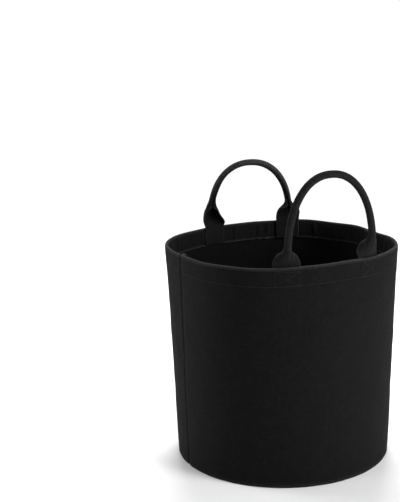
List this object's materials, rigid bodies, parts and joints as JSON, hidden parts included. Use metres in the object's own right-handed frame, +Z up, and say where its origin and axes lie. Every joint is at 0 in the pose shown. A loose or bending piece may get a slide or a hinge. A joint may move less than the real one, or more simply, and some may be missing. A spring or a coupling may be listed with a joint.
{
  "type": "fabric grow bag",
  "caption": "Round felt grow bag with a hemmed rim, a sewn-in flat base and rolled fabric strap handles that swing.",
  "frame": {"origin": "centre of the base's underside, on the surface that the bag stands on", "axes": "+Z up, X through the two side seams, -Y towards the front handle and +Y towards the back handle"},
  "size_m": [0.2918, 0.2944, 0.3949],
  "materials": {
    "felt": "black needle-punched felt, matt and slightly fuzzy",
    "strap_felt": "black felt strap, pressed a little smoother by rolling",
    "thread": "black polyester sewing thread with a slight sheen"
  },
  "bodies": {
    "bag": {"wall_panel_front": "felt", "wall_panel_back": "felt", "base_panel": "felt", "rim_topstitch_front": "thread", "rim_topstitch_back": "thread", "hem_stitch_front": "thread", "hem_stitch_back": "thread", "side_seam_thread_right": "thread", "side_seam_thread_left": "thread", "base_seam_thread": "thread", "front_handle_tail_left": "strap_felt", "front_handle_tail_right": "strap_felt", "back_handle_tail_left": "strap_felt", "back_handle_tail_right": "strap_felt", "front_handle_box_stitch_left": "thread", "front_handle_box_stitch_right": "thread", "back_handle_box_stitch_left": "thread", "back_handle_box_stitch_right": "thread", "front_handle_flex_left": "strap_felt", "front_handle_flex_right": "strap_felt", "back_handle_flex_left": "strap_felt", "back_handle_flex_right": "strap_felt"},
    "front_handle": {"front_handle_strap": "strap_felt", "front_handle_closing_stitch": "thread"},
    "back_handle": {"back_handle_strap": "strap_felt", "back_handle_closing_stitch": "thread"}
  },
  "joints": [
    {"name": "front_handle_swing", "type": "hinge", "parent": "bag", "child": "front_handle", "pos_m": [-0.00783, -0.13207, 0.295], "axis": [0.9996, -0.0294, 0], "range_deg": [-112, 100], "deforming": ["front_handle_flex_left", "front_handle_flex_right"]},
    {"name": "back_handle_swing", "type": "hinge", "parent": "bag", "child": "back_handle", "pos_m": [0.02748, 0.13022, 0.295], "axis": [-0.99, 0.1412, 0], "range_deg": [-76, 128], "deforming": ["back_handle_flex_left", "back_handle_flex_right"]}
  ]
}
